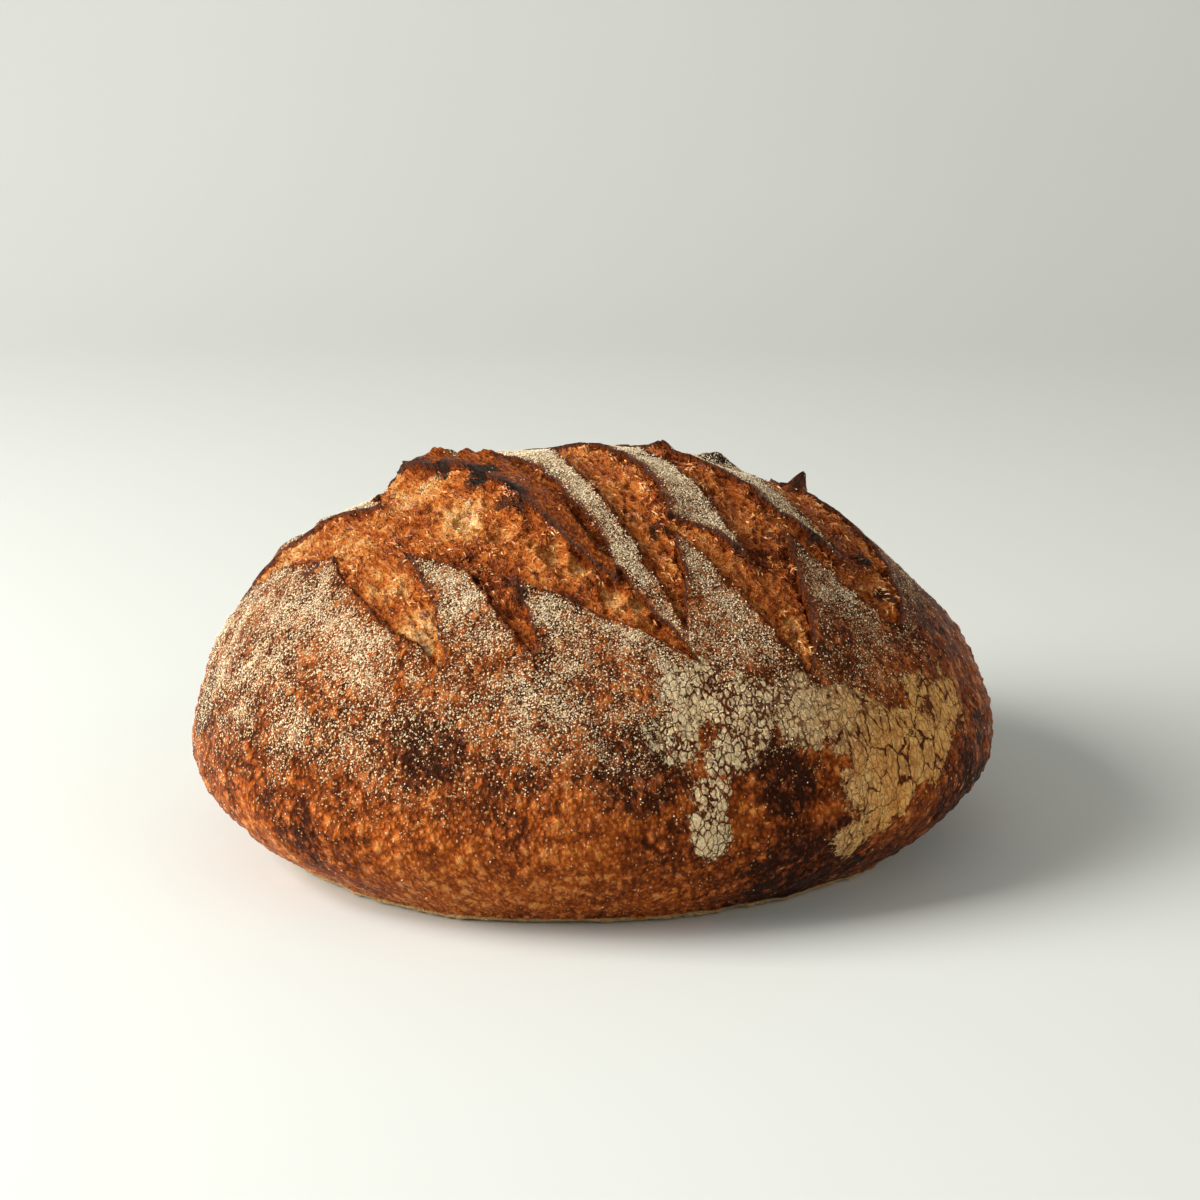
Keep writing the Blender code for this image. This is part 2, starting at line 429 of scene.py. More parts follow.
def straying(points):
    """How far the torn lips stray from the blade's lines."""
    broad = LIP_WANDER * wander(points, WANDER_SPACING, 1, 3)
    return broad + LIP_RAGGED * wander(points, RAGGED_SPACING, 6, 2)


def opening_at(points):
    """How far points lie inside the nearest opening, below 0 on the crust."""
    stray = straying(points)
    opening = np.full(len(points), -1.0)
    for slash in SLASHES:
        offset, half, swelling, _, _ = across_slash(points[:, :2], slash)
        inward = half - np.abs(offset) + stray * np.minimum(1, swelling * WANDER_AT_ENDS)
        opening = np.maximum(opening, inward)
    return np.where(points[:, 2] > BELLY_HEIGHT, opening, -1.0)


def skin_at(way):
    """Everything that the slashes do to the dome in those directions."""
    points, normals = proved(way)
    plan = points[:, :2]
    count = len(plan)
    stray = straying(points)
    opening = np.full(count, -1.0)
    ear, floor, weight = np.zeros(count), np.zeros(count), np.full(count, SMALL)
    lip, near_lip, bare = np.zeros(count), np.zeros(count), np.zeros(count)
    lean, grain = np.zeros((count, 2)), np.zeros((count, 2))
    sides = []
    for slash in SLASHES:
        offset, half, swelling, left, along = across_slash(plan, slash)
        inward = half - np.abs(offset) + stray * np.minimum(1, swelling * WANDER_AT_ENDS)
        opening = np.maximum(opening, inward)
        far_side = ramp(offset, -NARROWEST, NARROWEST)
        share = np.clip(offset / np.maximum(half, NARROWEST), -1, 1)
        rise = slash.rise * MM * np.sqrt(swelling)
        away = np.maximum(-inward, 0)
        ear = np.maximum(ear, rise * np.exp(-away / (slash.fade * MM)) * far_side)
        lean -= left * (EAR_LEAN * rise * np.exp(-away / LEAN_FADE) * far_side)[:, None]
        band = np.sqrt(swelling) * (1 + slash.rise)
        open_here = swelling > BARELY_OPEN
        lip = np.maximum(lip, np.exp(-away / (band * LIP_BAND + SMALL)) * far_side * open_here)
        near_lip = np.maximum(near_lip, np.exp(-away / NEAR_LIP_BAND) * (1 - far_side) * open_here)
        width = BARE_LIP * MM * max(slash.rise - BARE_FROM, 0) * swelling**2 + SMALL
        bare = np.maximum(bare, ramp(away / width, 1.15, 0.75) * far_side)
        climb = CRUMB_CLIMB * rise * (0.5 + 0.5 * share) ** CLIMB_POWER
        under = UNDERCUT * ramp(share, UNDERCUT_START, 1) * min(1, slash.rise * MM / FULL_EAR)
        hollow = CRUMB_HOLLOW * (1 - share**2) * swelling
        sides.append((away, far_side, swelling))
        mine = np.maximum(inward, 0) ** 2
        floor += mine * (climb - under - hollow - CRUST_STEP)
        grain += mine[:, None] * along
        weight += mine
    floor = floor / weight
    grain = grain / weight[:, None]
    _, past_crease, crease = sides[CREASE]
    from_ear, past_ear, _ = sides[TALL_EAR]
    strip = past_ear * (1 - past_crease) * ramp(crease, BARELY_OPEN, STRIP_START)
    bare = np.maximum(bare, strip * ramp(from_ear, *STRIP_FALL))
    on_top = ramp(points[:, 2], BELLY_HEIGHT, BELLY_HEIGHT + SLASH_LIMIT)
    opening = np.where(points[:, 2] > BELLY_HEIGHT, opening, -1.0)
    return Skin(points, normals, opening, ear, lean, floor, lip, near_lip, bare, grain, on_top)


def crag_height(points):
    """How high the burnt crags stand."""
    rough = 1 + CRAG_ROUGHNESS * wander(points, CRAG_GRAIN, 5)
    height = np.zeros(len(points))
    for crag in CRAGS:
        near = np.linalg.norm(points[:, :2] - np.array(crag.place) * MM, axis=1) / (crag.radius * MM)
        height += crag.height * MM * np.exp(-(near**2)) * rough
    return height


def patched(points, patches, seed, spacing=11 * MM):
    """How strongly the patches cover each point, 0 to 1, with uneven edges."""
    uneven = 1 + 0.45 * wander(points, spacing, seed, 3)
    cover = np.zeros(len(points))
    for patch in patches:
        near = np.linalg.norm(points - np.array(patch.place) * MM, axis=1) / (patch.radius * MM)
        cover = np.maximum(cover, patch.strength * ramp(near / np.maximum(uneven, 0.3), 1.15, 0.55))
    return cover


def ways_of(ball):
    way = np.array([vert.co for vert in ball.verts])
    return way / np.linalg.norm(way, axis=1)[:, None]


def snapped(way):
    """Directions moved a little, so that those beside a lip lie exactly on it."""
    points, _ = proved(way)
    gap = opening_at(points)
    close = np.flatnonzero(np.abs(gap) < SNAP)
    ways = way[close]
    side = np.cross(ways, (0, 0, 1.0))
    side /= np.linalg.norm(side, axis=1)[:, None]
    over = np.cross(side, ways)
    here = gap[close]
    slope_side = (opening_at(proved(ways + side * SNAP_STEP)[0]) - here) / SNAP_STEP
    slope_over = (opening_at(proved(ways + over * SNAP_STEP)[0]) - here) / SNAP_STEP
    steep = np.maximum(slope_side**2 + slope_over**2, LEAST_SLOPE**2)
    move = side * (slope_side * here / steep)[:, None] + over * (slope_over * here / steep)[:, None]
    way = way.copy()
    way[close] = ways - move
    return way / np.linalg.norm(way, axis=1)[:, None], close


def placed(name, data):
    """A new object with that mesh, camera or lamp."""
    thing = bpy.data.objects.new(name, data)
    bpy.context.scene.collection.objects.link(thing)
    return thing


def finished_piece(name, bm, attributes, material):
    """A piece of the loaf from a bmesh, thinned if it is too fine, with its attributes on its points."""
    mesh = bpy.data.meshes.new(name)
    bm.to_mesh(mesh)
    bm.free()
    for key, values in attributes.items():
        kind, field = ("FLOAT_VECTOR", "vector") if values.ndim == 2 else ("FLOAT", "value")
        holder = mesh.attributes.new(key, kind, "POINT")
        holder.data.foreach_set(field, values.astype(np.float32).ravel())
    mesh.materials.append(material)
    piece = placed(name, mesh)
    faces = sum(len(polygon.vertices) - 2 for polygon in mesh.polygons)
    if faces > PIECE_TRIANGLES:
        fewer = piece.modifiers.new("fewer triangles", "DECIMATE")
        fewer.ratio = PIECE_TRIANGLES / faces
        fewer.use_collapse_triangulate = True
        bpy.context.view_layer.update()
        thin = bpy.data.meshes.new_from_object(piece.evaluated_get(bpy.context.evaluated_depsgraph_get()))
        piece.modifiers.clear()
        piece.data = thin
        bpy.data.meshes.remove(mesh)
    piece.data.shade_smooth()
    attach(piece, "root")
    return piece


def make_crust(middle, material):
    """The crust: a closed body with a pocket under each opening, so that its lips have a real thickness."""
    ball = bmesh.new()
    bmesh.ops.create_icosphere(ball, subdivisions=CRUST_LEVEL, radius=1.0)
    way, on_lip = snapped(ways_of(ball))
    skin = skin_at(way)
    inside = skin.opening.copy()
    inside[on_lip] = 0
    tag = ball.verts.layers.int.new("source")
    for index, vert in enumerate(ball.verts):
        vert[tag] = index
    crust_faces = [face for face in ball.faces if sum(inside[v.index] for v in face.verts) <= SMALL]
    lifted = bmesh.ops.extrude_face_region(ball, geom=crust_faces)["geom"]
    raised = {item for item in lifted if isinstance(item, bmesh.types.BMVert)}
    top, fields = crust_surface(skin)
    pocket = skin.points - skin.normals * POCKET
    pocket[:, 2] = np.maximum(pocket[:, 2], POCKET)
    for vert in ball.verts:
        vert.co = (top if vert in raised else pocket)[vert[tag]] - middle
    around = {face for vert in raised for face in vert.link_faces}
    walls = [face for face in around if any(vert not in raised for vert in face.verts)]
    rims = [edge for face in walls for edge in face.edges if all(vert in raised for vert in edge.verts)]
    rounding = {"offset": LIP_ROUND, "offset_type": "OFFSET", "segments": 2, "clamp_overlap": True}
    bmesh.ops.bevel(ball, geom=list(set(rims)), affect="EDGES", profile=0.5, material=-1, **rounding)
    source = np.array([vert[tag] for vert in ball.verts])
    place = np.array([vert.co for vert in ball.verts]) + middle
    sunk = np.einsum("ij,ij->i", top[source] - place, skin.normals[source])
    attributes = {key: values[source] for key, values in fields.items()}
    attributes["grown"] = way[source] * GROWN_REACH + place - skin.points[source]
    attributes["sunk"] = ramp(sunk, *SUNK_RISE)
    return finished_piece("loaf_crust", ball, attributes, material)


def flour_cover(skin, crag):
    """How thickly flour lies: dusted from above, heaped in patches and on top, and gone from the lips."""
    points = skin.points
    right, forward, up = points[:, 0], -points[:, 1], points[:, 2]
    clumps = wander(points, 9 * MM, 19, 4)
    drifts = 0.50 + 0.34 * wander(points, 22 * MM, 17, 3) + 0.30 * clumps
    dust = ramp(up - 0.12 * right, *DUST_RISE) * drifts
    heaped = (patched(points, FLOUR_PATCHES, 18) + 0.15 * dust) * (0.85 + 0.45 * clumps)
    islands = (0.80 + 0.20 * clumps + 0.25 * ramp(up, *CAP_RISE)) * ramp(up, *ISLAND_RISE)
    flour = np.maximum(np.maximum(dust, heaped), islands)
    flour *= 1 - 0.85 * ramp(right, *UNFLOURED_RIGHTWARD) * ramp(forward, *UNFLOURED_FORWARD)
    flour = flour * (1 - np.clip(1.15 * skin.lip, 0, 1)) * (1 - 0.8 * skin.near_lip)
    flour *= (1 - 0.95 * skin.bare) * (1 - 0.6 * np.clip(crag / (3 * MM), 0, 1))
    return np.clip(flour, 0, 1)


def crust_surface(skin):
    """Where the crust's outer surface lies, and what it carries."""
    points, normals = skin.points, skin.normals
    right, up = points[:, 0], points[:, 2]
    crag = crag_height(points) * skin.on_top
    caked = patched(points, CAKED_PATCHES, 14)
    calm = (1 - 0.75 * ramp(up, *SMOOTH_RISE)) * (1 - 0.8 * caked)
    patchy = 0.70 + 0.55 * wander(points, 20 * MM, 13)
    bubble = pillows(points, BLISTER_SPACING, 11) * np.clip(patchy, 0.25, 1)
    pebble = pillows(points, PEBBLE_SPACING, 12)
    height = (BLISTER * bubble + PEBBLE * pebble) * calm + CAKE_THICKNESS * caked
    height += skin.ear * skin.on_top + crag
    height += NEAR_LIP_RISE * skin.near_lip * skin.on_top
    top = points + normals * height[:, None]
    top[:, :2] += skin.lean * skin.on_top[:, None]
    rim = np.exp(-(((up - RIM_HEIGHT) / RIM_SPREAD) ** 2)) * (up < RIM_LIMIT)
    flare = RIM_FLARE * (1 + 0.8 * wander(points, 16 * MM, 16))
    level = np.hypot(points[:, 0], points[:, 1])
    top[:, :2] += points[:, :2] / np.maximum(level, SMALL)[:, None] * (rim * flare)[:, None]
    top[:, 2] = np.maximum(top[:, 2], 0)
    burn = patched(points, CHARRED_PATCHES, 20, 4 * MM) + 0.22 * skin.lip
    fields = {
        # Painted warm bounce light: the crust drawn lighter and more orange low down on the left
        "golden": ramp(up, *BOUNCE_LIGHT_FALL) * ramp(right, *BOUNCE_LIGHT_LEFTWARD),
        "bubble": np.clip(0.7 * bubble + 0.3 * pebble, 0, 1) * calm,
        "caked": caked,
        "scorch": patched(points, SCORCHED_PATCHES, 15),
        "flour": flour_cover(skin, crag),
        "lip": np.maximum(skin.lip, 0.72 * skin.near_lip) * skin.on_top,
        "bare": skin.bare * skin.on_top,
        "burn": np.clip(burn, 0, 1) * skin.on_top,
        "rim": rim,
    }
    return top, fields


def crumb_pores(points):
    """Burst bubbles in the crumb: how deep they are, and how far inside one each point is."""
    rng = np.random.default_rng(5)
    places = [(pore.place, pore.radius) for pore in PORES]
    for _ in range(MORE_PORES):
        place = rng.uniform((-105, -90), (95, 85))
        places.append((tuple(place), rng.uniform(*PORE_SIZES)))
    depth, inside = np.zeros(len(points)), np.zeros(len(points))
    uneven = 1 + 0.28 * wander(points, 3.2 * MM, 21)
    for place, radius in places:
        gap = points[:, :2] - np.array(place) * MM
        close = np.flatnonzero(np.abs(gap).max(axis=1) < 2 * radius * MM)
        near = np.linalg.norm(gap[close], axis=1) / (radius * MM) / uneven[close]
        bowl = np.maximum(1 - near**2, 0)
        edge = np.exp(-(((near - 1.02) / 0.16) ** 2))
        depth[close] += radius * MM * (PORE_RIM * edge - PORE_DEPTH * bowl)
        inside[close] = np.maximum(inside[close], bowl)
    return depth, inside


def torn_relief(points, along):
    """The crumb's strands, flakes and small holes, drawn out along the tear, and its larger lumps."""
    length = np.linalg.norm(along, axis=1)
    along = np.where(length[:, None] > 0.1, along / np.maximum(length, SMALL)[:, None], (0.57, -0.82))
    along = np.column_stack([along, np.zeros(len(along))])
    lengthwise = np.einsum("ij,ij->i", points, along)
    across = points - along * lengthwise[:, None]
    bent = 2.2 * MM * wander(points, 13 * MM, 24)
    drawn = along * (lengthwise * 0.20)[:, None] + across + bent[:, None]
    strand = ridges(drawn, STRAND_SPACING, 22)
    thread = ridges(drawn, THREAD_SPACING, 23, 2)
    sideways = points[:, 1] * along[:, 0] - points[:, 0] * along[:, 1]
    layer = sideways / FLAKE_SPACING + 0.8 * wander(points, 8 * MM, 26, 3)
    layer += 0.1 * lengthwise / FLAKE_SPACING
    flake = (layer - np.floor(layer)) ** 2 * ramp(wander(points, 10 * MM, 27), -0.35, 0.35)
    stretched = along * (lengthwise * 0.55)[:, None] + across + 0.4 * bent[:, None]
    hole = pillows(stretched, HOLE_SPACING, 28) * ramp(wander(points, 6 * MM, 29), -0.3, 0.4)
    detail = STRAND * (strand - 0.6) + THREAD * (thread - 0.6) + FLAKE * (flake - 0.3) - HOLE * hole
    return detail, LUMP * wander(points, LUMP_SPACING, 25, 3)


def make_crumb(middle, material):
    """The torn crumb that shows in the openings, on a closed body that fills the loaf under its crust."""
    ball = bmesh.new()
    bmesh.ops.create_icosphere(ball, subdivisions=CRUMB_LEVEL, radius=1.0)
    opening = opening_at(proved(ways_of(ball))[0])
    ball.verts.ensure_lookup_table()
    torn_edges = [edge for edge in ball.edges if all(opening[v.index] > -FINE_MARGIN for v in edge.verts)]
    bmesh.ops.subdivide_edges(ball, edges=torn_edges, cuts=CRUMB_CUTS, use_grid_fill=True)
    bmesh.ops.triangulate(ball, faces=ball.faces[:])
    skin = skin_at(ways_of(ball))
    points = skin.points
    torn = ramp(skin.opening, *TORN_RISE) * skin.on_top
    shown = np.flatnonzero(skin.opening > -RELIEF_MARGIN)
    relief, inside, crest = np.zeros(len(points)), np.zeros(len(points)), np.zeros(len(points))
    near = points[shown]
    depth, bowl = crumb_pores(near)
    detail, lump = torn_relief(near, skin.along[shown])
    calm = 1 - 0.9 * np.sqrt(bowl)
    relief[shown] = depth + detail * calm + lump
    inside[shown] = bowl
    # How high the torn relief stands; the crumb's colour uses it for painted light on crests and painted
    # shade in hollows
    crest[shown] = np.clip(0.5 + detail / FULL_CREST, 0, 1)
    base = skin.floor + CRUMB_CRAG * wander(points, CRAG_SPACING, 2, 3)
    hidden = 0.8 * skin.ear - HIDDEN_DEPTH
    height = base * torn + hidden * (1 - torn) + relief * torn
    height += 0.75 * crag_height(points) * skin.on_top * torn
    place = points + skin.normals * height[:, None]
    place[:, 2] = np.maximum(place[:, 2], CRUMB_BASE)
    for vert, spot in zip(ball.verts, place - middle):
        vert.co = spot
    attributes = {
        "pore": inside,
        "crest": crest,
        "edge": ramp(skin.opening, *EDGE_FALL) * torn,
        "scald": patched(points, CHARRED_PATCHES, 20, 4 * MM),
        "pale": patched(points, PALE_PATCHES, 31, 6 * MM),
        "browned": patched(points, BROWNED_PATCHES, 32, 6 * MM),
        "shown": torn,
    }
    return finished_piece("loaf_crumb", ball, attributes, material)


def strewn(name, template, places, turns, sizes, material):
    """One mesh of many copies of a small template, each at its place, turned and sized."""
    corners = np.array([vert.co for vert in template.verts])
    faces = np.array([[vert.index for vert in face.verts] for face in template.faces])
    template.free()
    rotated = np.einsum("nij,kj->nki", turns, corners) * sizes[:, None, None]
    points = (rotated + places[:, None, :]).reshape(-1, 3)
    first_corners = (np.arange(len(places)) * len(corners))[:, None, None]
    loops = (faces[None] + first_corners).reshape(-1, faces.shape[1])
    mesh = bpy.data.meshes.new(name)
    mesh.from_pydata(points.tolist(), [], loops.tolist())
    mesh.materials.append(material)
    piece = placed(name, mesh)
    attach(piece, "root")
    return piece


def random_turns(rng, normals, tip, heading=None):
    """Rotations that stand a template's Z on each normal, tipped a little, and its X along a heading."""
    tipped = normals + rng.normal(0, tip, normals.shape)
    up = tipped / np.linalg.norm(tipped, axis=1)[:, None]
    if heading is None:
        wish = rng.normal(0, 1, normals.shape)
    else:
        wish = np.array((math.cos(heading), math.sin(heading), 0)) + rng.normal(0, 0.45, normals.shape)
    first = wish - up * np.einsum("ij,ij->i", wish, up)[:, None]
    first /= np.linalg.norm(first, axis=1)[:, None]
    return np.stack([first, np.cross(up, first), up], axis=2)


def spots_on(piece, wanted, rng, weights):
    """Places strewn over a piece's faces, as many for each face as its area and its weight call for."""
    mesh = piece.data
    count = len(mesh.polygons)
    areas, normals = np.empty(count), np.empty(count * 3)
    mesh.polygons.foreach_get("area", areas)
    mesh.polygons.foreach_get("normal", normals)
    corners = np.empty(count * 3, dtype=np.int64)
    mesh.polygons.foreach_get("vertices", corners)
    corners = corners.reshape(-1, 3)
    points = np.empty(len(mesh.vertices) * 3)
    mesh.vertices.foreach_get("co", points)
    points = points.reshape(-1, 3)
    chance = areas * weights[corners].mean(axis=1)
    chosen = rng.choice(count, wanted, p=chance / chance.sum())
    share = rng.dirichlet((1, 1, 1), wanted)
    places = np.einsum("nk,nkj->nj", share, points[corners[chosen]])
    return places, normals.reshape(-1, 3)[chosen]


def attribute_of(piece, name):
    values = np.empty(len(piece.data.vertices), dtype=np.float32)
    piece.data.attributes[name].data.foreach_get("value", values)
    return values.astype(float)


def make_flour_grains(crust, material):
    """Loose grains of flour, thickest where the crust is dusted most."""
    rng = np.random.default_rng(7)
    flour = attribute_of(crust, "flour") * (1 - attribute_of(crust, "sunk"))
    places, normals = spots_on(crust, GRAINS, rng, flour**1.5 + 0.004)
    grain = bmesh.new()
    bmesh.ops.create_uvsphere(grain, u_segments=4, v_segments=2, radius=1.0)
    bmesh.ops.scale(grain, vec=(1.0, 0.8, 0.6), verts=grain.verts)
    sizes = rng.uniform(*GRAIN_SIZES, len(places)) * MM
    turns = random_turns(rng, normals, GRAIN_TIP)
    return strewn("flour_grains", grain, places + normals * GRAIN_LIFT, turns, sizes, material)


def make_crumb_shreds(crumb, material):
    """Torn shreds that stand up from the crumb."""
    rng = np.random.default_rng(8)
    weights = ramp(attribute_of(crumb, "crest"), 0.35, 0.8) * attribute_of(crumb, "shown")
    places, normals = spots_on(crumb, SHREDS, rng, weights + SMALL)
    shred = bmesh.new()
    bmesh.ops.create_grid(shred, x_segments=4, y_segments=1, size=1.0)
    for vert in shred.verts:
        taper = 1 - 0.75 * abs(vert.co.x)
        bend = 0.35 * (1 - vert.co.x**2)
        vert.co = (vert.co.x, 0.20 * vert.co.y * taper, bend + 0.05 * vert.co.y)
    sizes = rng.uniform(*SHRED_SIZES, len(places)) * MM
    turns = random_turns(rng, normals, SHRED_TIP, FIBRE_HEADING)
    return strewn("crumb_shreds", shred, places, turns, sizes, material)


# The Mix node's colour sockets
MIX_FIRST = 6
MIX_SECOND = 7
MIX_RESULT = 2


class Finish:
    """A material and the short calls that make its nodes."""

    def __init__(self, name):
        self.material = bpy.data.materials.new(name)
        self.material.use_nodes = True
        self.tree = self.material.node_tree
        self.surface = self.tree.nodes["Principled BSDF"]
        self.place = self.new("ShaderNodeTexCoord").outputs["Object"]

    def new(self, kind, **settings):
        node = self.tree.nodes.new(kind)
        for key, value in settings.items():
            setattr(node, key, value)
        return node

    def put(self, node, name, value):
        socket = node.inputs[name]
        if isinstance(value, bpy.types.NodeSocket):
            self.tree.links.new(value, socket)
        else:
            socket.default_value = value

    def attributes(self, *names):
        return [self.new("ShaderNodeAttribute", attribute_name=name).outputs["Fac"] for name in names]

    def noise(self, spacing, detail=2.0, roughness=0.5, low=0.0, high=1.0, place=None):
        """Smooth noise; low and high are the values that are drawn out to 0 and 1."""
        node = self.new("ShaderNodeTexNoise")
        self.put(node, "Vector", place or self.place)
        self.put(node, "Scale", 1 / spacing)
        self.put(node, "Detail", detail)
        self.put(node, "Roughness", roughness)
        if (low, high) == (0.0, 1.0):
            return node.outputs["Fac"]
        return self.step(node.outputs["Fac"], low, high)

    def cells(self, spacing, place):
        """The distance from the middle of each cell of a pattern, and a random value for each cell."""
        node = self.new("ShaderNodeTexVoronoi")
        self.put(node, "Vector", place)
        self.put(node, "Scale", 1 / spacing)
        split = self.new("ShaderNodeSeparateColor")
        self.put(split, "Color", node.outputs["Color"])
        return node.outputs["Distance"], split.outputs[0]

    def cracks(self, spacing, place):
        """The distance from the edges of the cells."""
        node = self.new("ShaderNodeTexVoronoi", feature="DISTANCE_TO_EDGE")
        self.put(node, "Vector", place)
        self.put(node, "Scale", 1 / spacing)
        return node.outputs["Distance"]

    def math(self, operation, *values):
        node = self.new("ShaderNodeMath", operation=operation)
        for index, value in enumerate(values):
            self.put(node, index, value)
        return node.outputs[0]

    def times(self, first, second):
        return self.math("MULTIPLY", first, second)

    def total(self, start, *shares):
        """A start with more values added to it, each times its weight."""
        for value, weight in shares:
            start = self.math("MULTIPLY_ADD", value, weight, start)
        return start

    def step(self, value, low, high, bottom=0.0, top=1.0):
        node = self.new("ShaderNodeMapRange", interpolation_type="SMOOTHSTEP")
        inputs = {"Value": value, "From Min": low, "From Max": high, "To Min": bottom, "To Max": top}
        for name, setting in inputs.items():
            self.put(node, name, setting)
        return node.outputs[0]

    def blend(self, share, first, second):
        node = self.new("ShaderNodeMix", data_type="RGBA")
        self.put(node, "Factor", share)
        self.tree.nodes.update()
        for index, value in ((MIX_FIRST, first), (MIX_SECOND, second)):
            self.put(node, index, (*value, 1) if isinstance(value, tuple) else value)
        return node.outputs[MIX_RESULT]

    def shades(self, value, stops):
        node = self.new("ShaderNodeValToRGB")
        self.put(node, "Fac", value)
        steps = node.color_ramp.elements
        while len(steps) < len(stops):
            steps.new(0.5)
        for step, (position, colour) in zip(steps, stops):
            step.position, step.color = position, (*colour, 1)
        return node.outputs["Color"]

    def drawn_out(self, heading, stretch):
        """Coordinates in which patterns run along a heading on plan."""
        node = self.new("ShaderNodeMapping", vector_type="TEXTURE")
        self.put(node, "Vector", self.place)
        node.inputs["Rotation"].default_value = (0, 0, heading)
        node.inputs["Scale"].default_value = (stretch, 1, 1)
        return node.outputs["Vector"]

    def upright(self, place, squeeze):
        """Coordinates in which patterns stand taller than they are wide."""
        node = self.new("ShaderNodeMapping")
        self.put(node, "Vector", place)
        node.inputs["Scale"].default_value = (1, 1, squeeze)
        return node.outputs["Vector"]

    def shaken(self, spacing, reach):
        """Coordinates pushed about by noise, so that patterns lose their straight edges."""
        node = self.new("ShaderNodeTexNoise")
        self.put(node, "Vector", self.place)
        self.put(node, "Scale", 1 / spacing)
        push = self.new("ShaderNodeVectorMath", operation="MULTIPLY_ADD")
        self.tree.links.new(node.outputs["Color"], push.inputs[0])
        push.inputs[1].default_value = (reach, reach, reach)
        self.tree.links.new(self.place, push.inputs[2])
        return push.outputs[0]

    def relief(self, height, distance):
        """Bumps on the surface and on its coat."""
        node = self.new("ShaderNodeBump")
        self.put(node, "Height", height)
        node.inputs["Strength"].default_value = 1.0
        node.inputs["Distance"].default_value = distance
        for socket in ("Normal", "Coat Normal"):
            self.put(self.surface, socket, node.outputs["Normal"])

    def glaze(self, specular, coat, roughness, ior):
        """A faint sheen, and a clear coat where the crust or crumb looks wet."""
        self.surface.inputs["Specular IOR Level"].default_value = specular
        self.put(self.surface, "Coat Weight", coat)
        self.surface.inputs["Coat Roughness"].default_value = roughness
        self.surface.inputs["Coat IOR"].default_value = ior


CREAM = (0.80, 0.60, 0.31)
FLOUR_WHITE = (0.94, 0.81, 0.57)
TOASTED = (0.52, 0.25, 0.08)
TOASTED_GRAIN = (0.60, 0.42, 0.22)
DARK_BROWN = (0.045, 0.010, 0.003)
RED_BROWN = (0.13, 0.026, 0.005)
CHAR = (0.007, 0.005, 0.004)
SOOT = (0.050, 0.030, 0.022)
PLUM = (0.075, 0.036, 0.030)
LIP_BROWN = (0.20, 0.060, 0.022)
SINGED_CRUST = (0.060, 0.018, 0.008)
SINGED_CRUMB = (0.085, 0.022, 0.008)
# Pale spots on the blisters: partly pale blister tops, partly painted glints
EYE_AND_GLINT_GOLD = (0.92, 0.48, 0.20)
RIM_TAN = (0.72, 0.48, 0.22)

# The dark and the light tint of each
BETWEEN_GRAINS = ((0.040, 0.009, 0.002), (0.210, 0.052, 0.012))
WHITE_CAKE = ((0.86, 0.50, 0.20), (1.00, 0.85, 0.52))
TAN_CAKE = ((0.66, 0.20, 0.026), (1.00, 0.60, 0.19))
FLOOR_TINTS = ((0.620, 0.640, 0.605), (0.655, 0.675, 0.640))

BAKED_SHADES = (
    (0.05, (0.030, 0.007, 0.002)),
    (0.24, (0.100, 0.019, 0.003)),
    (0.44, (0.260, 0.052, 0.006)),
    (0.62, (0.450, 0.098, 0.011)),
    (0.88, (0.720, 0.255, 0.050)),
)
CRUMB_SHADES = (
    (0.08, (0.060, 0.012, 0.003)),
    (0.28, (0.250, 0.046, 0.006)),
    (0.50, (0.530, 0.132, 0.018)),
    (0.70, (0.760, 0.340, 0.085)),
    (0.92, (0.900, 0.680, 0.340)),
)


